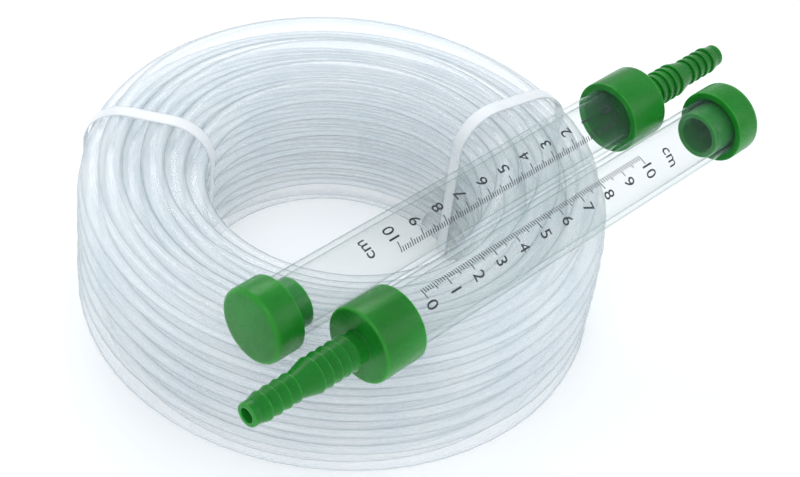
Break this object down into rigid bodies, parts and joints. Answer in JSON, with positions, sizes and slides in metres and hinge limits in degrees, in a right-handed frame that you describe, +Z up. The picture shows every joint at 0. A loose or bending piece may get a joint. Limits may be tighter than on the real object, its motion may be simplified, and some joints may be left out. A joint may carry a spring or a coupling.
{
  "type": "water level hose",
  "caption": "Coiled clear hose tied with two straps, with two graduated gauge tubes that have barbed hose fittings and pull-off end caps, for levelling by water.",
  "frame": {"origin": "on the coil's axis, at the floor that the coil lies on", "axes": "+Z up along the coil's axis, +X along the gauge tubes, -Y towards the side where the tubes lie"},
  "size_m": [0.2428, 0.178, 0.0873],
  "materials": {
    "hose": "soft clear hose, slightly milky",
    "strap": "thin white film",
    "gauge_tube": "clear rigid tube",
    "green_plastic": "smooth moulded green"
  },
  "bodies": {
    "hose_coil": {"hose_core": "hose", "hose_winding": "hose", "strap_left": "strap", "strap_right": "strap"},
    "gauge_a": {"gauge_tube_a": "gauge_tube"},
    "gauge_b": {"gauge_tube_b": "gauge_tube"},
    "fitting_a": {"barb_fitting_a": "green_plastic"},
    "fitting_b": {"barb_fitting_b": "green_plastic"},
    "cap_a": {"end_cap_a": "green_plastic"},
    "cap_b": {"end_cap_b": "green_plastic"}
  },
  "joints": [
    {"name": "gauge_a_lift", "type": "slide", "parent": "hose_coil", "child": "gauge_a", "axis": [0, 0, 1], "range_m": [0, 0.12]},
    {"name": "gauge_b_lift", "type": "slide", "parent": "hose_coil", "child": "gauge_b", "axis": [0, 0, 1], "range_m": [0, 0.12]},
    {"name": "fitting_a_pull", "type": "slide", "parent": "gauge_a", "child": "fitting_a", "axis": [1, 0, 0], "range_m": [0, 0.025]},
    {"name": "fitting_b_pull", "type": "slide", "parent": "gauge_b", "child": "fitting_b", "axis": [-1, 0, 0], "range_m": [0, 0.025]},
    {"name": "cap_a_pull", "type": "slide", "parent": "gauge_a", "child": "cap_a", "axis": [-1, 0, 0], "range_m": [0, 0.03]},
    {"name": "cap_b_pull", "type": "slide", "parent": "gauge_b", "child": "cap_b", "axis": [1, 0, 0], "range_m": [0, 0.03]}
  ]
}
